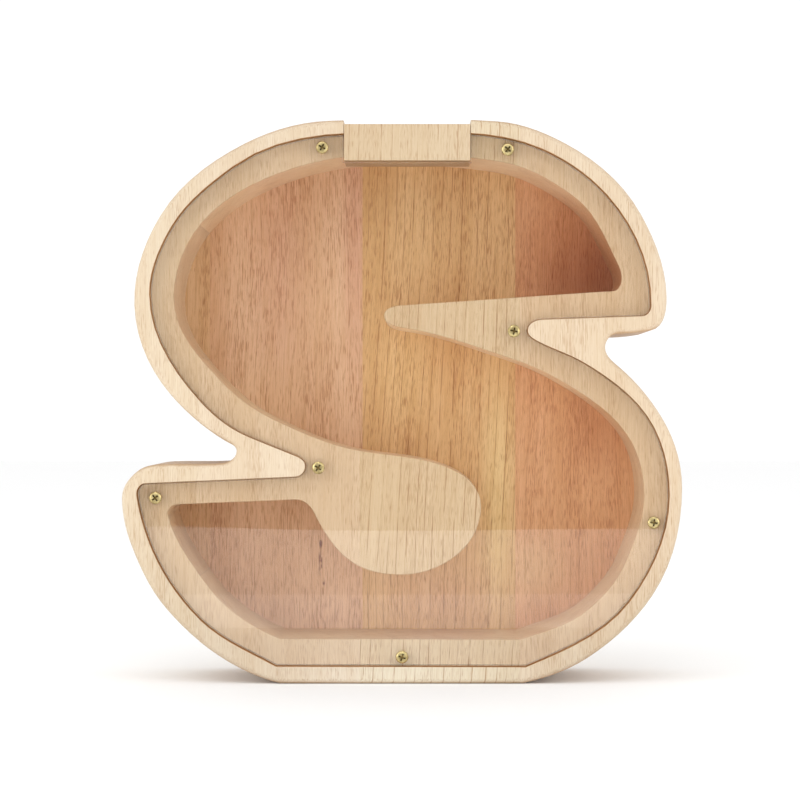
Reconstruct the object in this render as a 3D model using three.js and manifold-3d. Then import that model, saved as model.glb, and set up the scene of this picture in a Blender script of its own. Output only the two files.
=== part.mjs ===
// A wooden money box in the shape of a capital letter S, standing on its flat foot.
// The body is one blank of edge-glued staves, hollowed from the front. A clear window lies in a
// rebate round the hollow, held by seven small brass screws, and coins drop in through a slot in
// the top, behind a separate block glued into the top wall.
//
// Millimetres. +Z is up, the front faces -Y, +X is to the right seen from the front.
// The origin is the middle of the foot, on the surface that the box stands on.

import * as THREE from "three";
import { mergeVertices } from "three/addons/utils/BufferGeometryUtils.js";
import Module from "manifold-3d";

// ---- Driving dimensions ----

const DEPTH = 45;
const FRONT = -DEPTH / 2;
const BACK = DEPTH / 2;
const ROUND_OVER = 2; // on the outer edge, front and back
const REBATE_DEPTH = 3.8; // from the rim down to the ledge that the window lies on
const HOLLOW_FLOOR = BACK - 7; // the back of the hollow is 7 mm thick
const REACH = 120; // longer than any half size, for cutting tools
const OVERRUN = 1; // how far a cutting tool starts outside the face that it cuts into

const STAVE_WIDTH = 57;
const FIRST_JOINT = -72.1; // X of the leftmost glue joint
const GLUE_LINE = 0.1;

const BLOCK = { left: -20.6, right: 24.3, bottom: 185.9, top: 198.8, thickness: 20 };
const BLOCK_NOTCH_DROP = 2; // how far the notch for the block runs down past it, into the hollow
const COIN_SLOT = 5; // the gap left behind the block, front to back

const WINDOW_THICKNESS = 2.4;
const WINDOW_CLEARANCE = 0.5; // to the rebate's wall and the block
const WINDOW_HOLE_RADIUS = 1.5;

const SCREW_HEAD_RADIUS = 2.25;
const SCREW_HEAD_HEIGHT = 1.3;
const SCREW_HEAD_EDGE = 0.35; // the share of the head's height below its dome
const SCREW_SHANK_RADIUS = 1.1;
const SCREW_LENGTH = 12; // below the head, with the point
const SCREW_POINT = 2.5;
const PILOT_RADIUS = 1.2;
const PILOT_DEPTH = 13; // below the window's front face
const RECESS_ARM = 1.3; // half the length of the cross recess
const RECESS_WIDTH = 0.45;
const RECESS_DEPTH = 0.8;

const SCREWS = {
  screw_top_left: [-28.4, 190.6],
  screw_top_right: [37.6, 189.9],
  screw_middle_right: [39.8, 125.3],
  screw_middle_left: [-29.8, 76.7],
  screw_left: [-87.7, 66],
  screw_right: [89.5, 57.2],
  screw_bottom: [0, 9.4],
};

const CURVE_STEPS = 7; // straight pieces in each curved stretch of an outline
const ROUND_STEPS = 4; // facets across the round-over
const SCREW_SIDES = 20;
const DOME_STEPS = 4;
const STRAIGHT = 1; // a stretch that turns and leaves by fewer degrees than this is one line
const WELD = 1e-4; // points nearer than this are one

// ---- Outlines ----
// Each outline runs clockwise seen from the front. A knot is [X, Z, heading], with the heading in
// degrees from +X towards +Z. A corner has two headings: the one it is reached on and the one it
// is left on.

// The outer shape of the S.
const SILHOUETTE = [
  [-26, 200.2, 2],
  [34, 200, -4],
  [58, 192.2, -28],
  [85, 167, -61],
  [94.2, 137.5, -89],
  [88.4, 125.5, -170],
  [77, 124.4, -180],
  [72.3, 119.5, -90],
  [77, 112.8, -40],
  [92.6, 94.4, -59],
  [99.7, 69.5, -90],
  [89, 31, -124],
  [66, 9, -147],
  [43, 0, -168, -180],
  [-43.5, 0, -180, 166],
  [-62.4, 8, 149],
  [-83.8, 26.4, 131],
  [-96.3, 49, 111],
  [-99.7, 66, 90],
  [-94, 75.6, 38],
  [-85, 78, 2],
  [-64.5, 78.3, 4],
  [-58.9, 82.7, 90],
  [-63, 86.3, 149],
  [-82.2, 102.5, 131],
  [-95.3, 134.5, 92],
  [-86.2, 166.2, 59],
  [-56, 192.1, 27],
];

// The rebate for the window, inside the rim.
const REBATE = [
  [0, 195.9, 0],
  [50, 190, -24],
  [73, 173.6, -48],
  [88.6, 134.4, -91],
  [85.2, 130.6, -178],
  [50, 129.4, -178],
  [44.7, 125.5, -90],
  [48.4, 121.6, -28],
  [65, 113.9, -31],
  [84, 99.1, -48],
  [95.1, 67, -90],
  [81, 29.2, -127],
  [44, 5.9, -157, -180],
  [-44.8, 6.1, -180, 151],
  [-72, 22.9, 135],
  [-88.7, 47.3, 113],
  [-94.3, 66.8, 98],
  [-91.2, 71.2, 2],
  [-38, 73.5, 2],
  [-34.4, 77.4, 90],
  [-38, 81, 158],
  [-55, 87.9, 157],
  [-71.9, 100.5, 132],
  [-89.8, 138.5, 90],
  [-82.2, 162, 60],
  [-60, 183.8, 36],
];

// The mouth of the hollow, inside the ledge. The hollow is one channel along the whole S.
const HOLLOW = [
  [0, 188.5, 0],
  [36, 185.6, -10],
  [61.5, 173.2, -36],
  [76.9, 149.4, -63],
  [77.1, 140.6, -130],
  [72, 139.5, -177],
  [0.3, 134.6, -177],
  [-6.4, 130.9, -90],
  [0, 126.6, -8],
  [27, 119.6, -19],
  [55, 108.6, -30],
  [80, 88.8, -55],
  [86.3, 66.5, -90],
  [79.8, 43.2, -112],
  [66.8, 26.4, -138],
  [42.2, 15.3, -159, -180],
  [-43.6, 15.6, -180, 157],
  [-69.3, 34.5, 126],
  [-83.5, 59.6, 104],
  [-80.3, 63.6, 2],
  [-38, 65.3, 2],
  [-31.3, 60.5, -64],
  [-20, 44.6, -41],
  [-0.3, 38.5, 0],
  [19.8, 45.8, 40],
  [28.2, 63, 90],
  [19.5, 75.3, 152],
  [-14, 82.5, 171],
  [-46.6, 94.2, 155],
  [-72, 115.8, 130],
  [-81.4, 137, 90],
  [-68, 167.6, 43],
  [-33, 185.1, 15],
];

const radians = THREE.MathUtils.degToRad;

// The corners of an outline as points, with each stretch between knots a cubic curve whose
// handles are those of a circular arc through the same turn.
function sampleOutline(knots) {
  const path = new THREE.Path();
  path.moveTo(knots[0][0], knots[0][1]);
  knots.forEach(([x0, z0, arrive, leave = arrive], i) => {
    const [x1, z1, heading] = knots[(i + 1) % knots.length];
    const turn = THREE.MathUtils.euclideanModulo(heading - leave + 180, 360) - 180;
    const chord = Math.hypot(x1 - x0, z1 - z0);
    const handle = chord / (3 * Math.cos(radians(turn) / 4) ** 2);
    const straight = THREE.MathUtils.radToDeg(Math.atan2(z1 - z0, x1 - x0));
    const offLine = THREE.MathUtils.euclideanModulo(leave - straight + 180, 360) - 180;
    if (Math.abs(turn) < STRAIGHT && Math.abs(offLine) < STRAIGHT) {
      path.lineTo(x1, z1);
      return;
    }
    path.bezierCurveTo(
      x0 + handle * Math.cos(radians(leave)),
      z0 + handle * Math.sin(radians(leave)),
      x1 - handle * Math.cos(radians(heading)),
      z1 - handle * Math.sin(radians(heading)),
      x1,
      z1,
    );
  });
  const points = path.getPoints(CURVE_STEPS);
  points.pop(); // the last point repeats the first
  return points;
}

// An outline moved inwards by a distance, point by point along its normals.
function inset(points, distance) {
  return points.map((point, i) => {
    const before = points[(i + points.length - 1) % points.length];
    const after = points[(i + 1) % points.length];
    const along = after.clone().sub(before).normalize();
    return new THREE.Vector2(point.x + along.y * distance, point.y - along.x * distance);
  });
}

// ---- Solids ----

const manifold = await Module();
manifold.setup();

function toSolid(geometry) {
  geometry.deleteAttribute("normal");
  geometry.deleteAttribute("uv");
  const merged = mergeVertices(geometry, WELD);
  return new manifold.Manifold(
    new manifold.Mesh({
      numProp: 3,
      vertProperties: new Float32Array(merged.attributes.position.array),
      triVerts: new Uint32Array(merged.index.array),
    }),
  );
}

// An outline extruded from one depth to another, nearer first, with an optional round-over that
// stays inside the outline at both ends.
function slab(points, near, far, round = 0) {
  const geometry = new THREE.ExtrudeGeometry(new THREE.Shape(points), {
    depth: far - near - 2 * round,
    bevelEnabled: round > 0,
    bevelThickness: round,
    bevelSize: round,
    bevelOffset: -round,
    bevelSegments: ROUND_STEPS,
  });
  geometry.rotateX(Math.PI / 2);
  geometry.translate(0, far - round, 0);
  return toSolid(geometry);
}

function box(left, right, near, far, bottom, top) {
  const geometry = new THREE.BoxGeometry(right - left, far - near, top - bottom);
  geometry.translate((left + right) / 2, (near + far) / 2, (bottom + top) / 2);
  return toSolid(geometry);
}

// A round solid along Y at a place on the front, from one depth to another.
function rod(radius, near, far, [x, z]) {
  const geometry = new THREE.CylinderGeometry(radius, radius, far - near, SCREW_SIDES);
  geometry.translate(x, (near + far) / 2, z);
  return toSolid(geometry);
}

function subtractAll(solid, cutters) {
  return cutters.reduce((rest, cutter) => rest.subtract(cutter), solid);
}

// ---- Sub-parts ----

const WINDOW_FRONT = FRONT + REBATE_DEPTH - WINDOW_THICKNESS;
const places = Object.values(SCREWS);

// The whole wooden body before it is cut into its staves.
function hollowedBlank() {
  const blank = slab(sampleOutline(SILHOUETTE), FRONT, BACK, ROUND_OVER);
  const start = FRONT - OVERRUN;
  const blockNotch = box(
    BLOCK.left - GLUE_LINE,
    BLOCK.right + GLUE_LINE,
    start,
    FRONT + BLOCK.thickness + COIN_SLOT,
    BLOCK.bottom - BLOCK_NOTCH_DROP,
    REACH * 2,
  );
  return subtractAll(blank, [
    slab(sampleOutline(REBATE), start, FRONT + REBATE_DEPTH),
    slab(sampleOutline(HOLLOW), start, HOLLOW_FLOOR),
    blockNotch,
    ...places.map((place) => rod(PILOT_RADIUS, start, WINDOW_FRONT + PILOT_DEPTH, place)),
  ]);
}

// The part of the blank between two upright planes, and between two levels.
function stave(blank, left, right, bottom = -OVERRUN, top = REACH * 2) {
  const gap = GLUE_LINE / 2;
  return blank.intersect(box(left + gap, right - gap, -REACH, REACH, bottom, top));
}

function slotBlock() {
  const { left, right, bottom, top, thickness } = BLOCK;
  return box(left, right, FRONT, FRONT + thickness, bottom, top);
}

function frontWindow() {
  const plate = slab(
    inset(sampleOutline(REBATE), WINDOW_CLEARANCE),
    WINDOW_FRONT,
    FRONT + REBATE_DEPTH,
  );
  const blockNotch = box(
    BLOCK.left - WINDOW_CLEARANCE,
    BLOCK.right + WINDOW_CLEARANCE,
    -REACH,
    REACH,
    BLOCK.bottom - WINDOW_CLEARANCE,
    REACH * 2,
  );
  const holes = places.map((place) => rod(WINDOW_HOLE_RADIUS, -REACH, REACH, place));
  return subtractAll(plate, [blockNotch, ...holes]);
}

// A pan-head wood screw with a cross recess, its head on the plane Y = 0 and its point at +Y.
function panHeadScrew() {
  const dome = Array.from({ length: DOME_STEPS }, (_, step) => {
    const angle = ((step / DOME_STEPS) * Math.PI) / 2;
    const rise = SCREW_HEAD_EDGE + (1 - SCREW_HEAD_EDGE) * Math.sin(angle);
    return new THREE.Vector2(
      SCREW_HEAD_RADIUS * Math.sqrt(Math.cos(angle)),
      -SCREW_HEAD_HEIGHT * rise,
    );
  });
  const profile = [
    new THREE.Vector2(0, SCREW_LENGTH),
    new THREE.Vector2(SCREW_SHANK_RADIUS, SCREW_LENGTH - SCREW_POINT),
    new THREE.Vector2(SCREW_SHANK_RADIUS, 0),
    new THREE.Vector2(SCREW_HEAD_RADIUS, 0),
    ...dome,
    new THREE.Vector2(0, -SCREW_HEAD_HEIGHT),
  ];
  const body = toSolid(new THREE.LatheGeometry(profile.reverse(), SCREW_SIDES));
  const arm = (x, z) =>
    box(-x, x, -SCREW_HEAD_HEIGHT - OVERRUN, RECESS_DEPTH - SCREW_HEAD_HEIGHT, -z, z);
  return body
    .subtract(arm(RECESS_ARM, RECESS_WIDTH / 2))
    .subtract(arm(RECESS_WIDTH / 2, RECESS_ARM));
}

// ---- Assembly ----

const WOOD = { color: 0xe0c79c, roughness: 0.55, metalness: 0 };
const BLOCK_WOOD = { color: 0xe3c9a0, roughness: 0.6, metalness: 0 };
const CLEAR = { color: 0xf4f6f5, roughness: 0.05, metalness: 0, transparent: true, opacity: 0.3 };
const BRASS = { color: 0xc9a650, roughness: 0.3, metalness: 1 };

const moneyBox = new THREE.Group();

function addPart(name, solid, finish) {
  const { vertProperties, triVerts } = solid.getMesh();
  const geometry = new THREE.BufferGeometry();
  geometry.setAttribute("position", new THREE.BufferAttribute(vertProperties, 3));
  geometry.setIndex(new THREE.BufferAttribute(triVerts, 1));
  geometry.computeVertexNormals();
  const mesh = new THREE.Mesh(geometry, new THREE.MeshStandardMaterial(finish));
  mesh.name = name;
  moneyBox.add(mesh);
  return mesh;
}

const blank = hollowedBlank();
const joint = (number) => FIRST_JOINT + STAVE_WIDTH * number;
const NOTCH_LEVEL = 82; // a level inside the left notch of the S, which parts the left-edge stave
addPart("left_edge_stave_upper", stave(blank, -REACH, joint(0), NOTCH_LEVEL), WOOD);
addPart("left_edge_stave_lower", stave(blank, -REACH, joint(0), -OVERRUN, NOTCH_LEVEL), WOOD);
addPart("left_stave", stave(blank, joint(0), joint(1)), WOOD);
addPart("centre_stave", stave(blank, joint(1), joint(2)), WOOD);
addPart("right_stave", stave(blank, joint(2), REACH), WOOD);
addPart("slot_block", slotBlock(), BLOCK_WOOD);
addPart("front_window", frontWindow(), CLEAR);
for (const [name, [x, z]] of Object.entries(SCREWS)) {
  addPart(name, panHeadScrew(), BRASS).position.set(x, WINDOW_FRONT, z);
}

export default moneyBox;
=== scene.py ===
import math

import bmesh
import bpy
from mathutils import Matrix, Vector


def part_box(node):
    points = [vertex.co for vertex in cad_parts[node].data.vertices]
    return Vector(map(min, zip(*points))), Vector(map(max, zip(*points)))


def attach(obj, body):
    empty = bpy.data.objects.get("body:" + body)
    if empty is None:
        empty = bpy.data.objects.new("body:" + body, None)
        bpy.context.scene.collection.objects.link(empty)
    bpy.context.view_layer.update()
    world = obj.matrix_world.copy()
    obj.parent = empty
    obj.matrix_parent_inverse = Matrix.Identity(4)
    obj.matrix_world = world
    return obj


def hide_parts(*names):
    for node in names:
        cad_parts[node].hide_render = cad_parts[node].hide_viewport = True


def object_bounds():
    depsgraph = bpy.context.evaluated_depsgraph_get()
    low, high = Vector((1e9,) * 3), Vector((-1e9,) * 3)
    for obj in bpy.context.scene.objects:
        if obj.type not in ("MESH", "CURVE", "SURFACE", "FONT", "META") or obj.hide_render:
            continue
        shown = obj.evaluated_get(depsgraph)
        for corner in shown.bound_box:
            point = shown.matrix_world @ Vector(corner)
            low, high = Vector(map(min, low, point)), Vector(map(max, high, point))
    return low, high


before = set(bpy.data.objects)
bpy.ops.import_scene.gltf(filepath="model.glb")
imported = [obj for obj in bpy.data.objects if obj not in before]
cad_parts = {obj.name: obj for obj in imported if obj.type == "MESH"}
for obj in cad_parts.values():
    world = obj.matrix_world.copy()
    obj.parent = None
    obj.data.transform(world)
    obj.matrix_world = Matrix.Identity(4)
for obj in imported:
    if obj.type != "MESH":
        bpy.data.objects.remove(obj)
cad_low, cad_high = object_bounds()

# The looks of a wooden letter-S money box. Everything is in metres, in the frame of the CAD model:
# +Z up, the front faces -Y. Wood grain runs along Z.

MM = 0.001
LINE_PITCH = 3.2 * MM  # between the long dark grain lines
PITH_OFFSET = (0.13, -0.07, 0)  # from the heart of the tree to the grain's own origin

# ---- The studio ----
FLOOR_FRONT = -0.93  # where the floor ends, short of the camera's own side of the room
WHITE_LEVEL = 1.07  # of the surroundings
DIM_LEVEL = 0.15  # of the patch straight in front
DIM_PATCH = (-0.985, -0.968)  # the Y of the directions between which it fades
EYE_TO_FRONT = 0.72
VIEW_WIDTH = 0.284  # what the frame takes in at the front plane
VIEW_CENTRE = (-0.0007, 0.1008)

# ---- Shapes, in millimetres ----
ARRIS = 0.3  # the softened edge where two faces of the wood meet
BLOCK_ARRIS = 0.15
WINDOW_ARRIS = 0.12
WELD = 0.001
SLIVER = 0.7  # the shortest piece of outline kept beside a glue joint
WINDOW_LIFT = 0.05  # the air under the window
SHARP_ANGLE = math.radians(35)
BLEND_COSINE = math.cos(math.radians(50))
HEAD_RADIUS = 2.25
HEAD_HEIGHT = 1.3
CORE_RADIUS = 0.82
CREST_RADIUS = 1.1
SHANK_LENGTH = 12
PLAIN_SHANK = 1.5  # under the head, with no thread
TIP = 1.2  # at the far end, with no thread
TAPER = 3.5  # over which the shank narrows to its point
THREAD_PITCH = 1.0
# One turn's ring, as steps along the shank with a radius.
THREAD_RING = [(0.30, CORE_RADIUS), (0.50, CREST_RADIUS), (0.56, CREST_RADIUS), (0.76, CORE_RADIUS)]
RECESS_ARM = 1.45
RECESS_WIDTH = 0.29
RECESS_FLOOR = -0.1
SCREW_TURNS = {  # how far each cross recess is turned, in degrees
    "screw_top_left": 28,
    "screw_top_right": 41,
    "screw_middle_right": 12,
    "screw_middle_left": 35,
    "screw_left": 52,
    "screw_right": 8,
    "screw_bottom": 20,
}

# ---- Colours, linear ----
PALE = (0.675, 0.575, 0.435)
BLOCK_PALE = (0.60, 0.475, 0.32)
LEDGE_TONE = (0.75, 0.575, 0.385)
WALL_PAINTED_LIGHT_TONE = (0.80, 0.63, 0.44)  # the sides of the hollow, made lighter than the ledge's wood: painted light
REBATE_SHADE_TONE = (0.50, 0.25, 0.09)  # the step round the window, dark brown: painted shade of the narrow gap between the wood and the window
END_GRAIN_TONE = (0.78, 0.66, 0.56)
# Faces that look downwards are lightened by this: painted light, standing in for light bounced up
# from below.
UNDERSIDE_PAINTED_LIGHT_TONE = (1.18, 1.18, 1.18)
BAND_TONE = (0.88, 0.80, 0.70)
FIBRE_TONE = (0.86, 0.78, 0.68)
PORE_TONE = (0.62, 0.44, 0.32)
SPOT_TONE = (0.40, 0.22, 0.18)
BRASS, BRASS_WORN = (0.66, 0.54, 0.26), (0.40, 0.31, 0.14)
# The dark brass of the cross recess: painted shade, with some grime.
RECESS_SHADE_DEEP, RECESS_SHADE_SOFT = (0.22, 0.145, 0.045), (0.36, 0.25, 0.09)
ACRYLIC = (0.995, 0.997, 0.995, 1)
ACRYLIC_SHADOW = (0.985, 0.986, 0.985, 1)
EDGE_FROST = (0.93, 0.90, 0.86), (0.97, 0.96, 0.94)
FLOOR_WHITE = (0.90, 0.90, 0.90), (0.92, 0.92, 0.92)

# ---- Grain, in waves a metre along X, Y and Z ----
WANDER_GRAIN = (14, 14, 9)
BAND_GRAIN = (75, 1, 4)
FIBRE_GRAIN = (2600, 2600, 70)
ZONE_GRAIN = (160, 160, 16)
PORE_GRAIN = (4700, 4700, 260)
SPREAD_GRAIN = (110, 1, 6)
BREAK_GRAIN = (900, 900, 90)

FRONT_LOOK = dict(pores=0.45, lines=0.12, bands=0.5, fibres=0.6)
# The walls' downward-facing faces are made lighter: painted light.
WALL_LOOK = dict(pores=0.55, lines=0.2, bands=0.5, fibres=0.7, underside_painted_light=1.0, gloss=0.15)
FLOOR_LOOK = dict(pores=0.75, lines=0.35, bands=0.9, fibres=0.9)
KNOTS = [(-30.7, 47.5, 0.8, 2.2), (-30.9, 40.0, 1.1, 5.5), (-29.6, 33.0, 0.7, 1.6)]
LEFT_PATCHES = [
    ((0.92, 0.84, 0.84), -46, 150, 16, 60),
    ((0.90, 0.78, 0.78), -18, 160, 7, 75),
    ((1.06, 1.10, 1.10), -52, 100, 24, 26),
]
# Paler and less yellow towards the bottom of the front and the ledge: painted light, as if from the
# bright floor below.
LOW_PAINTED_LIGHT_PATCHES = [((1.18, 1.25, 1.36), 0, 0, 80, 42)]
CENTRE_PATCHES = [
    ((1.12, 1.30, 1.36), 35, 62, 9, 70),
    ((0.95, 0.90, 0.84), 18, 130, 14, 60),
    ((1.05, 1.10, 1.10), 0, 112, 16, 34),
    ((0.98, 0.96, 1.10), 14, 26, 34, 20),
]
RIGHT_PATCHES_WITH_PAINTED_LIGHT = [
    # The first and third darken the upper right of the hollow: partly the stave's own redder tone,
    # partly painted shade.
    ((0.80, 0.60, 0.48), 70, 152, 48, 52),
    ((0.86, 0.74, 0.66), 74, 92, 20, 30),
    ((0.78, 0.66, 0.60), 74, 146, 26, 26),
    # Paler low down on the right: painted reflection of the bright floor in the window.
    ((1.04, 1.20, 1.28), 48, 38, 20, 20),
]
STAVES = {
    "left_edge_stave_upper": dict(floor=(0.84, 0.58, 0.335), tint=(1.0, 0.99, 0.98), seed=1.0),
    "left_edge_stave_lower": dict(floor=(0.84, 0.56, 0.32), tint=(1.0, 1.0, 1.0), seed=1.6),
    "left_stave": dict(
        floor=(0.86, 0.575, 0.37),
        tint=(1.0, 0.985, 0.985),
        seed=2.3,
        spots=KNOTS,
        patches=LEFT_PATCHES,
    ),
    "centre_stave": dict(
        floor=(0.85, 0.57, 0.285),
        tint=(0.985, 0.985, 0.95),
        seed=3.1,
        lean=2.5,
        lines=0.8,
        patches=CENTRE_PATCHES,
    ),
    "right_stave": dict(
        floor=(0.87, 0.515, 0.285), tint=(1.0, 0.97, 0.95), seed=4.7, patches=RIGHT_PATCHES_WITH_PAINTED_LIGHT
    ),
}


# ---- Meshes ----


def link(name, mesh):
    piece = bpy.data.objects.new(name, mesh)
    bpy.context.scene.collection.objects.link(piece)
    return piece


def node_bmesh(node):
    """A CAD node's mesh in millimetres, welded, with each flat face in one piece."""
    shape = bmesh.new()
    shape.from_mesh(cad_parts[node].data)
    bmesh.ops.scale(shape, vec=(1 / MM,) * 3, verts=shape.verts)
    bmesh.ops.remove_doubles(shape, verts=shape.verts, dist=WELD)
    shape.normal_update()
    coplanar = [
        e
        for e in shape.edges
        if len(e.link_faces) == 2 and e.calc_face_angle() < math.radians(0.5)
    ]
    bmesh.ops.dissolve_edges(shape, edges=coplanar, use_verts=False, use_face_split=False)
    return shape


def near(value, planes, tolerance=0.02):
    return any(abs(value - plane) < tolerance for plane in planes)


def drop_slivers(shape, planes):
    """Takes the first corner beyond a joint into the joint where the two are almost one."""
    merged = {}
    for edge in shape.edges:
        one, other = edge.verts
        if edge.calc_length() < SLIVER:
            if near(one.co.x, planes) and not near(other.co.x, planes):
                merged[other] = one
            elif near(other.co.x, planes) and not near(one.co.x, planes):
                merged[one] = other
    bmesh.ops.weld_verts(shape, targetmap=merged)
    shape.normal_update()


def soften(shape, width, planes=()):
    """Rounds the sharp outward edges, apart from those on the glue joints, at X = planes."""
    edges = [
        e
        for e in shape.edges
        if len(e.link_faces) == 2
        and e.is_convex
        and e.calc_face_angle() > SHARP_ANGLE
        and not all(near(v.co.x, planes) for v in e.verts)
    ]
    bmesh.ops.bevel(
        shape,
        geom=edges,
        offset=width,
        offset_type="OFFSET",
        segments=2,
        profile=0.5,
        affect="EDGES",
        clamp_overlap=False,
    )


def smooth_normals(mesh):
    """Flat faces keep their own normal, and curved ones blend into each other and into them."""
    mesh.shade_smooth()
    flat = [max(abs(c) for c in face.normal) > 0.99999 for face in mesh.polygons]
    touching = [[] for _ in mesh.vertices]
    for face in mesh.polygons:
        for corner in face.vertices:
            touching[corner].append(face.index)
    normals = []
    for face in mesh.polygons:
        for corner in face.vertices:
            around = [mesh.polygons[i] for i in touching[corner]]
            close = [f for f in around if f.normal.dot(face.normal) > BLEND_COSINE]
            level = [f for f in close if flat[f.index]]
            if flat[face.index]:
                normals.append(face.normal.copy())
            elif level:
                normals.append(level[0].normal.copy())
            else:
                total = sum((f.normal * f.area for f in close), Vector())
                normals.append(total.normalized())
    mesh.normals_split_custom_set(normals)


def piece_from(shape, name):
    bmesh.ops.scale(shape, vec=(MM,) * 3, verts=shape.verts)
    bmesh.ops.triangulate(shape, faces=shape.faces)
    mesh = bpy.data.meshes.new(name)
    shape.to_mesh(mesh)
    shape.free()
    smooth_normals(mesh)
    return link(name, mesh)


# ---- Material nodes ----


def new_material(name):
    material = bpy.data.materials.new(name)
    material.use_nodes = True
    tree = material.node_tree
    tree.nodes.clear()
    return material, tree


def add(tree, kind, settings=None, **inputs):
    """A node with its settings, and each input set to a number, a colour or another node's output."""
    made = tree.nodes.new("ShaderNode" + kind)
    for key, value in (settings or {}).items():
        setattr(made, key, value)
    for key, value in inputs.items():
        socket = made.inputs[key.replace("_", " ")]
        if isinstance(value, bpy.types.NodeSocket):
            tree.links.new(value, socket)
        else:
            socket.default_value = value
    return made


def mix(tree, factor, first, second, blend="MIX"):
    made = tree.nodes.new("ShaderNodeMix")
    made.data_type = "RGBA"
    made.blend_type = blend
    for index, value in ((0, factor), (6, first), (7, second)):
        if isinstance(value, bpy.types.NodeSocket):
            tree.links.new(value, made.inputs[index])
        else:
            made.inputs[index].default_value = value if index == 0 else (*value, 1)
    return made.outputs[2]


def stretched(tree, place, scale, detail=2.0, roughness=0.5):
    mapped = add(tree, "Mapping", Vector=place, Scale=scale)
    noise = add(
        tree, "TexNoise", Vector=mapped.outputs[0], Scale=1.0, Detail=detail, Roughness=roughness
    )
    return noise.outputs["Factor"] if "Factor" in noise.outputs else noise.outputs[0]


def ramp(tree, value, low, high, low_to=0.0, high_to=1.0):
    made = add(tree, "MapRange", {"interpolation_type": "SMOOTHSTEP"}, Value=value)
    made.inputs["From Min"].default_value = low
    made.inputs["From Max"].default_value = high
    made.inputs["To Min"].default_value = low_to
    made.inputs["To Max"].default_value = high_to
    return made.outputs[0]


def math_node(tree, operation, first, second=0.0):
    made = tree.nodes.new("ShaderNodeMath")
    made.operation = operation
    for index, value in enumerate((first, second)):
        if isinstance(value, bpy.types.NodeSocket):
            tree.links.new(value, made.inputs[index])
        else:
            made.inputs[index].default_value = value
    return made.outputs[0]


def marks(tree, place, spots, core=0.4):
    """1 inside each elongated spot (X, Z, half width, half length, in millimetres), fading to 0
    from a share of its size outwards."""
    total = 0.0
    for x, z, wide, long in spots:
        moved = add(
            tree,
            "Mapping",
            {"vector_type": "TEXTURE"},
            Vector=place,
            Location=(x * MM, 0, z * MM),
            Scale=(wide * MM, 1, long * MM),
        )
        reach = add(tree, "VectorMath", {"operation": "LENGTH"})
        tree.links.new(moved.outputs[0], reach.inputs[0])
        one = ramp(tree, reach.outputs["Value"], core, 1.0, 1.0, 0.0)
        total = math_node(tree, "MAXIMUM", total, one)
    return total


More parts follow.
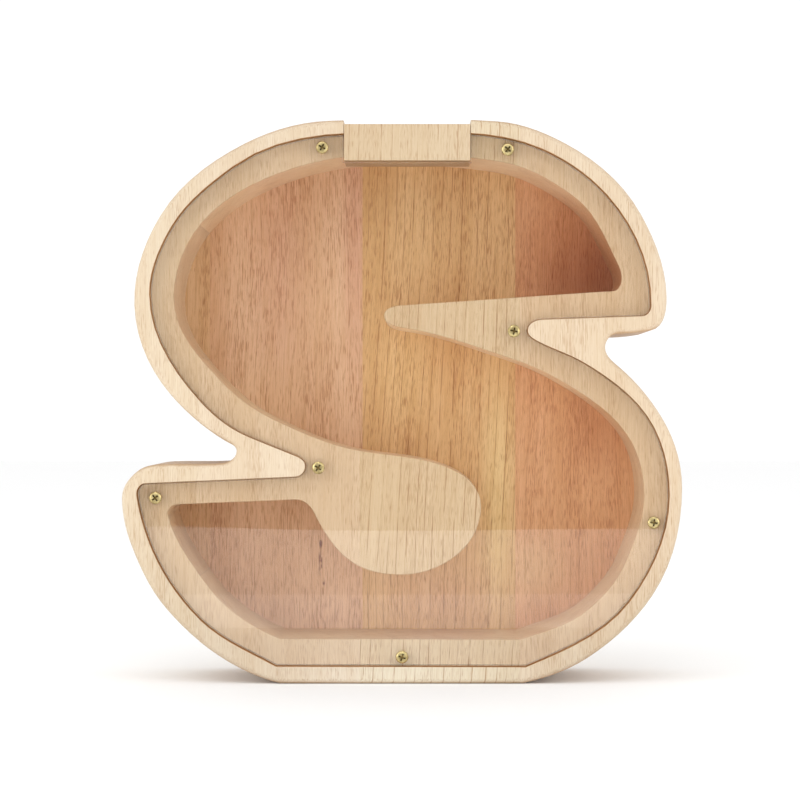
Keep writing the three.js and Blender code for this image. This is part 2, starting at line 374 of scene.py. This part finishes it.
def wood(
    name,
    base,
    seed=0.0,
    lean=0.5,
    pores=0.6,
    lines=0.2,
    bands=0.5,
    fibres=0.5,
    end_grain=0.0,
    underside_painted_light=0.0,
    gloss=0.35,
    spots=(),
    patches=(),
):
    """Straight-grained pale hardwood: broad bands of tone, fine fibres, short dark pores and a few
    long dark lines, all along Z, leaning by some degrees to +X."""
    material, tree = new_material(name)
    place = add(tree, "TexCoord").outputs["Object"]
    leaned = add(
        tree,
        "Mapping",
        Vector=place,
        Rotation=(0, math.radians(-lean), 0),
        Location=(seed * 0.31, seed * 0.17, seed * 0.23),
    ).outputs[0]
    wander = stretched(tree, leaned, WANDER_GRAIN, detail=1)
    shift = math_node(tree, "MULTIPLY", math_node(tree, "SUBTRACT", wander, 0.5), 0.006)
    grain_place = add(tree, "VectorMath", {"operation": "ADD"})
    tree.links.new(leaned, grain_place.inputs[0])
    tree.links.new(add(tree, "CombineXYZ", X=shift).outputs[0], grain_place.inputs[1])
    grain = grain_place.outputs[0]

    # Growth rings round a pith that lies behind the stave and to its left, so that they show as
    # upright bands on the front and as arcs on the end grain.
    from_pith = add(tree, "Mapping", Vector=grain, Location=PITH_OFFSET, Scale=(1, 1, 0))
    radius = add(tree, "VectorMath", {"operation": "LENGTH"})
    tree.links.new(from_pith.outputs[0], radius.inputs[0])
    ring = radius.outputs["Value"]
    height = add(tree, "SeparateXYZ", Vector=grain).outputs["Z"]
    ring_place = add(tree, "CombineXYZ", X=ring, Z=height).outputs[0]

    band = ramp(tree, stretched(tree, ring_place, BAND_GRAIN, detail=3), 0.35, 0.7)
    fibre = ramp(tree, stretched(tree, grain, FIBRE_GRAIN, detail=3, roughness=0.7), 0.35, 0.7)
    zone = stretched(tree, grain, ZONE_GRAIN, detail=1)
    pore_field = stretched(tree, grain, PORE_GRAIN, detail=1, roughness=0.4)
    pore_level = math_node(tree, "ADD", pore_field, math_node(tree, "MULTIPLY", zone, 0.35))
    pore = ramp(tree, pore_level, 0.72, 0.86)
    spread = math_node(tree, "MULTIPLY", stretched(tree, ring_place, SPREAD_GRAIN, detail=0), 9.0)
    turns = math_node(tree, "MULTIPLY", ring, 2 * math.pi / LINE_PITCH)
    phase = math_node(tree, "ADD", turns, spread)
    line_break = stretched(tree, grain, BREAK_GRAIN, detail=2)
    line = math_node(
        tree,
        "MULTIPLY",
        ramp(tree, math_node(tree, "SINE", phase), 0.93, 0.99),
        ramp(tree, line_break, 0.36, 0.56),
    )

    colour = mix(tree, math_node(tree, "MULTIPLY", band, bands), base, BAND_TONE, "MULTIPLY")
    colour = mix(tree, math_node(tree, "MULTIPLY", fibre, fibres), colour, FIBRE_TONE, "MULTIPLY")
    colour = mix(tree, math_node(tree, "MULTIPLY", pore, pores), colour, PORE_TONE, "MULTIPLY")
    colour = mix(tree, math_node(tree, "MULTIPLY", line, lines), colour, PORE_TONE, "MULTIPLY")
    facing = add(tree, "SeparateXYZ", Vector=add(tree, "TexCoord").outputs["Normal"]).outputs["Z"]
    if end_grain:
        upright = math_node(tree, "ABSOLUTE", facing)
        ends = math_node(tree, "MULTIPLY", ramp(tree, upright, 0.45, 0.95), end_grain)
        colour = mix(tree, ends, colour, END_GRAIN_TONE, "MULTIPLY")
    # Painted light: faces that look downwards are made lighter, standing in for light bounced up from
    # below.
    if underside_painted_light:
        painted_light_below = math_node(tree, "MULTIPLY", ramp(tree, facing, -0.3, -1.0), underside_painted_light)
        colour = mix(tree, painted_light_below, colour, UNDERSIDE_PAINTED_LIGHT_TONE, "MULTIPLY")
    # Patches multiply the colour: some are the wood's own tone, some are painted shade, painted light
    # or a painted reflection.
    for tone, *patch in patches:
        colour = mix(tree, marks(tree, place, [patch], 0.0), colour, tone, "MULTIPLY")
    if spots:
        ragged = ramp(tree, stretched(tree, grain, (1300, 1300, 500), detail=2), 0.35, 0.6)
        spot = math_node(tree, "MULTIPLY", marks(tree, place, spots), ragged)
        colour = mix(tree, spot, colour, SPOT_TONE, "MULTIPLY")

    dips = math_node(tree, "MAXIMUM", pore, math_node(tree, "MULTIPLY", fibre, 0.4))
    bump = add(
        tree, "Bump", {"invert": True}, Strength=0.35, Distance=0.08 * MM, Height=dips
    )
    shader = add(
        tree,
        "BsdfPrincipled",
        Base_Color=colour,
        Roughness=ramp(tree, fibre, 0.0, 1.0, 0.46, 0.58),
        Normal=bump.outputs[0],
    )
    shader.inputs["Specular IOR Level"].default_value = gloss
    add(tree, "OutputMaterial", Surface=shader.outputs[0])
    return material


def clear_acrylic(name):
    material, tree = new_material(name)
    place = add(tree, "TexCoord").outputs["Object"]
    wave = stretched(tree, place, (9, 9, 14), detail=0)
    bump = add(tree, "Bump", Strength=1.0, Distance=0.12 * MM, Height=wave)
    glass = add(
        tree,
        "BsdfPrincipled",
        Base_Color=ACRYLIC,
        Roughness=0.0,
        IOR=1.49,
        Normal=bump.outputs[0],
    )
    glass.inputs["Transmission Weight"].default_value = 1.0
    through = add(tree, "BsdfTransparent", Color=ACRYLIC_SHADOW)
    shadow = add(tree, "LightPath").outputs["Is Shadow Ray"]
    both = tree.nodes.new("ShaderNodeMixShader")
    tree.links.new(shadow, both.inputs[0])
    tree.links.new(glass.outputs[0], both.inputs[1])
    tree.links.new(through.outputs[0], both.inputs[2])
    add(tree, "OutputMaterial", Surface=both.outputs[0])
    return material


def cut_edge(name):
    """The cut edge of the window, finely frosted."""
    material, tree = new_material(name)
    place = add(tree, "TexCoord").outputs["Object"]
    tooth = stretched(tree, place, (2500, 300, 2500), detail=2)
    bump = add(tree, "Bump", Strength=0.5, Distance=0.05 * MM, Height=tooth)
    shader = add(
        tree,
        "BsdfPrincipled",
        Base_Color=mix(tree, tooth, *EDGE_FROST),
        Roughness=0.35,
        IOR=1.49,
        Normal=bump.outputs[0],
    )
    shader.inputs["Transmission Weight"].default_value = 0.7
    add(tree, "OutputMaterial", Surface=shader.outputs[0])
    return material


def brass(name, bright, worn):
    material, tree = new_material(name)
    place = add(tree, "TexCoord").outputs["Object"]
    grime = stretched(tree, place, (700, 700, 700), detail=3)
    colour = mix(tree, ramp(tree, grime, 0.35, 0.7), bright, worn)
    shader = add(
        tree,
        "BsdfPrincipled",
        Base_Color=colour,
        Metallic=1.0,
        Roughness=ramp(tree, grime, 0.3, 0.7, 0.22, 0.4),
    )
    add(tree, "OutputMaterial", Surface=shader.outputs[0])
    return material


# ---- The wooden body ----

low, high = {}, {}
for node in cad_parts:
    low[node], high[node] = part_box(node)

LEDGE = high["front_window"].y / MM
GLUE_LINE = (low["centre_stave"].x - high["left_stave"].x) / MM

FRONT, LEDGE_FACE, WALL, FLOOR, REBATE = range(5)  # the material slots of a stave


def tinted(colour, tint):
    return tuple(c * t for c, t in zip(colour, tint))


def surface_of(nearest, farthest, outlook, floor_level):
    """The material slot of a face from the depths it spans and how far it faces forwards."""
    if outlook < -0.3:
        if nearest < LEDGE - ARRIS:
            return FRONT
        return LEDGE_FACE if nearest < floor_level - ARRIS else FLOOR
    if nearest > LEDGE - 0.1 and farthest < floor_level + 0.1:
        return WALL
    return REBATE if near(farthest, [LEDGE], 0.1) else FRONT


for node, look in STAVES.items():
    shape = node_bmesh(node)
    left, right = low[node].x / MM, high[node].x / MM
    joints = []
    if not node.startswith("left_edge"):
        joints.append(left)
    if node != "right_stave":
        joints.append(right)
    drop_slivers(shape, joints)
    floor_level = max(f.calc_center_median().y for f in shape.faces if f.normal.y < -0.99)
    soften(shape, ARRIS, joints)
    shape.normal_update()
    for face in shape.faces:
        depths = [v.co.y for v in face.verts]
        face.material_index = surface_of(min(depths), max(depths), face.normal.y, floor_level)
    for v in shape.verts:
        if near(v.co.x, joints):
            v.co.x += GLUE_LINE / 2 if v.co.x > (left + right) / 2 else -GLUE_LINE / 2
    piece = piece_from(shape, node + "_wood")
    own = {k: v for k, v in look.items() if k not in ("floor", "tint")}
    # The front and the ledge get paler towards the bottom: painted light.
    everywhere = {**own, "spots": (), "patches": LOW_PAINTED_LIGHT_PATCHES}
    seeded = {"seed": look["seed"]}
    for part, base, settings in (
        ("front", tinted(PALE, look["tint"]), {**FRONT_LOOK, "end_grain": 1.0, **everywhere}),
        ("ledge", tinted(LEDGE_TONE, look["tint"]), {**FRONT_LOOK, "gloss": 0.15, **everywhere}),
        # The sides of the hollow take a lighter tone than the ledge: painted light.
        ("wall", WALL_PAINTED_LIGHT_TONE, {**WALL_LOOK, **seeded, "patches": look.get("patches", ())}),
        ("floor", look["floor"], {**FLOOR_LOOK, **own}),
        # The step round the window is painted dark brown: painted shade of the gap round the window.
        ("rebate_shade", REBATE_SHADE_TONE, {**WALL_LOOK, **seeded, "underside_painted_light": 0.0}),
    ):
        piece.data.materials.append(wood(f"{node}_{part}", base, **settings))
    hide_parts(node)
    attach(piece, "wooden_body")

shape = node_bmesh("slot_block")
soften(shape, BLOCK_ARRIS)
block = piece_from(shape, "slot_block_wood")
block.data.materials.append(
    wood("slot_block_wood", BLOCK_PALE, seed=6.2, pores=0.5, lines=0.6, end_grain=0.8)
)
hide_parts("slot_block")
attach(block, "wooden_body")

# ---- The window ----
shape = node_bmesh("front_window")
shape.normal_update()
for face in shape.faces:
    face.material_index = int(abs(face.normal.y) < 0.5)
soften(shape, WINDOW_ARRIS)
for v in shape.verts:
    if near(v.co.y, [LEDGE], 0.3):
        v.co.y -= WINDOW_LIFT
window = piece_from(shape, "window_sheet")
window.data.materials.append(clear_acrylic("clear_acrylic"))
window.data.materials.append(cut_edge("cut_edge"))
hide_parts("front_window")
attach(window, "window")

# ---- The screws ----


def lathed(profile, sides):
    """A closed solid of revolution about Y from (radius, Y) points that begin and end on the axis."""
    shape = bmesh.new()
    rings = []
    for radius, y in profile:
        if radius == 0:
            rings.append([shape.verts.new((0, y, 0))])
        else:
            turns = [2 * math.pi * i / sides for i in range(sides)]
            rings.append(
                [shape.verts.new((radius * math.cos(a), y, radius * math.sin(a))) for a in turns]
            )
    for near_ring, far_ring in zip(rings, rings[1:]):
        for i in range(sides):
            j = (i + 1) % sides
            corners = [near_ring[i % len(near_ring)], near_ring[j % len(near_ring)]]
            corners += [far_ring[j % len(far_ring)], far_ring[i % len(far_ring)]]
            unique = list(dict.fromkeys(corners))
            shape.faces.new(unique)
    bmesh.ops.recalc_face_normals(shape, faces=shape.faces)
    return shape


def to_object(shape, name):
    mesh = bpy.data.meshes.new(name)
    shape.to_mesh(mesh)
    shape.free()
    return link(name, mesh)


def screw_solid(screw_materials):
    """A pan-head wood screw in millimetres, head towards -Y, with a tapered cross recess and stacked
    rings for its thread."""
    dome = [
        (HEAD_RADIUS * math.cos(a) ** 0.55, -HEAD_HEIGHT * (0.3 + 0.7 * math.sin(a)))
        for a in (math.pi / 2 * i / 10 for i in range(10))
    ]
    head = [(0, -HEAD_HEIGHT), *reversed(dome), (HEAD_RADIUS, -0.05), (HEAD_RADIUS - 0.12, 0)]
    shank = [(CORE_RADIUS, 0), (CORE_RADIUS, PLAIN_SHANK)]
    thread = []
    y = PLAIN_SHANK
    while y < SHANK_LENGTH - TIP:
        taper = min(1.0, (SHANK_LENGTH - y) / TAPER)
        thread += [(radius * taper, y + step) for step, radius in THREAD_RING]
        y += THREAD_PITCH
    body = to_object(lathed([*head, *shank, *thread, (0, SHANK_LENGTH)], 40), "screw_blank")
    cutter = bmesh.new()
    for turn in (0, math.pi / 2):
        top, bottom = RECESS_ARM, RECESS_ARM * 0.45
        width, thin = RECESS_WIDTH, RECESS_WIDTH * 0.6
        corners = []
        for reach, half, y in ((top, width, -HEAD_HEIGHT - 0.2), (bottom, thin, RECESS_FLOOR)):
            for x, z in ((-reach, -half), (reach, -half), (reach, half), (-reach, half)):
                rotated = Matrix.Rotation(turn, 3, "Y") @ Vector((x, y, z))
                corners.append(cutter.verts.new(rotated))
        cutter.faces.new(corners[:4])
        cutter.faces.new(corners[4:])
        for i in range(4):
            j = (i + 1) % 4
            cutter.faces.new((corners[i], corners[j], corners[4 + j], corners[4 + i]))
    bmesh.ops.recalc_face_normals(cutter, faces=cutter.faces)
    # The recess's faces take the second material, the dark brass of painted shade.
    for face in cutter.faces:
        face.material_index = 1
    tool = to_object(cutter, "recess_tool")
    for solid in (body, tool):
        for material in screw_materials:
            solid.data.materials.append(material)
    cut = body.modifiers.new("recess", "BOOLEAN")
    cut.operation = "DIFFERENCE"
    cut.solver = "EXACT"
    cut.use_self = True
    cut.object = tool
    bpy.context.view_layer.update()
    result = bpy.data.meshes.new_from_object(
        body.evaluated_get(bpy.context.evaluated_depsgraph_get())
    )
    bpy.data.objects.remove(body)
    bpy.data.objects.remove(tool)
    return result


# The second material darkens the cross recess: painted shade.
screw_mesh = screw_solid(
    [brass("screw_brass", BRASS, BRASS_WORN), brass("recess_brass", RECESS_SHADE_DEEP, RECESS_SHADE_SOFT)]
)
for node, turn in SCREW_TURNS.items():
    mesh = screw_mesh.copy()
    centre = (low[node] + high[node]) / 2
    seat = Vector((centre.x, low[node].y + HEAD_HEIGHT * MM, centre.z))
    mesh.transform(
        Matrix.Translation(seat) @ Matrix.Rotation(math.radians(turn), 4, "Y") @ Matrix.Scale(MM, 4)
    )
    mesh.update()
    smooth_normals(mesh)
    screw = link(node + "_brass", mesh)
    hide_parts(node)
    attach(screw, node)

# ---- Floor, light and camera ----

floor_mesh = bpy.data.meshes.new("studio_floor")
corners = [(-3, FLOOR_FRONT), (3, FLOOR_FRONT), (3, 3), (-3, 3)]
floor_mesh.from_pydata([(x, y, -0.02 * MM) for x, y in corners], [], [(0, 1, 2, 3)])
floor = link("studio_floor", floor_mesh)
material, tree = new_material("white_floor")
paper = stretched(tree, add(tree, "TexCoord").outputs["Object"], (400, 400, 400), detail=3)
shader = add(
    tree,
    "BsdfPrincipled",
    Base_Color=mix(tree, paper, *FLOOR_WHITE),
    Roughness=0.9,
)
add(tree, "OutputMaterial", Surface=shader.outputs[0])
floor_mesh.materials.append(material)

world = bpy.data.worlds.new("studio")
bpy.context.scene.world = world
world.use_nodes = True
tree = world.node_tree
tree.nodes.clear()
# White all round, apart from a dim patch straight in front, where a camera and its operator stand.
direction = add(tree, "TexCoord").outputs["Generated"]
parts = add(tree, "SeparateXYZ", Vector=direction)
radiance = ramp(tree, parts.outputs["Y"], *DIM_PATCH, DIM_LEVEL, WHITE_LEVEL)
background = add(tree, "Background", Color=(1, 1, 1, 1), Strength=radiance)
add(tree, "OutputWorld", Surface=background.outputs[0])


def softbox(name, place, size, watts, aim):
    """A soft rectangular light at one place, aimed at another."""
    light = bpy.data.lights.new(name, "AREA")
    light.shape = "RECTANGLE"
    light.size, light.size_y = size
    light.energy = watts
    lamp = link(name, light)
    lamp.location = place
    lamp.rotation_euler = (Vector(aim) - Vector(place)).to_track_quat("-Z", "Y").to_euler()
    return lamp


MIDDLE = (cad_low + cad_high) / 2
softbox("key", (-0.25, -0.6, 1.3), (1.2, 0.8), 2.9, MIDDLE)
softbox("left_fill", (-1.0, -0.55, 0.35), (0.6, 0.8), 2.6, MIDDLE)
softbox("right_fill", (1.0, -0.55, 0.35), (0.6, 0.8), 2.1, MIDDLE)
# A lamp lying on the floor in front lifts the undersides; the window doesn't mirror it.
reflector = softbox("reflector", (0, -0.16, 0.012), (0.5, 0.14), 0.25, (0, -0.16, 1))
reflector.visible_glossy = False

EYE = Vector((0.0078, cad_low.y - EYE_TO_FRONT, 0.098))
camera = bpy.data.cameras.new("camera")
camera.sensor_width = 36
camera.lens = 36 * EYE_TO_FRONT / VIEW_WIDTH
camera.shift_x = (VIEW_CENTRE[0] - EYE.x) / VIEW_WIDTH
camera.shift_y = (VIEW_CENTRE[1] - EYE.z) / VIEW_WIDTH
camera.clip_start = 0.01
camera.clip_end = 20
camera_object = bpy.data.objects.new("camera", camera)
bpy.context.scene.collection.objects.link(camera_object)
camera_object.location = EYE
camera_object.rotation_euler = (math.pi / 2, 0, 0)
bpy.context.scene.camera = camera_object
bpy.context.scene.view_settings.view_transform = "Standard"
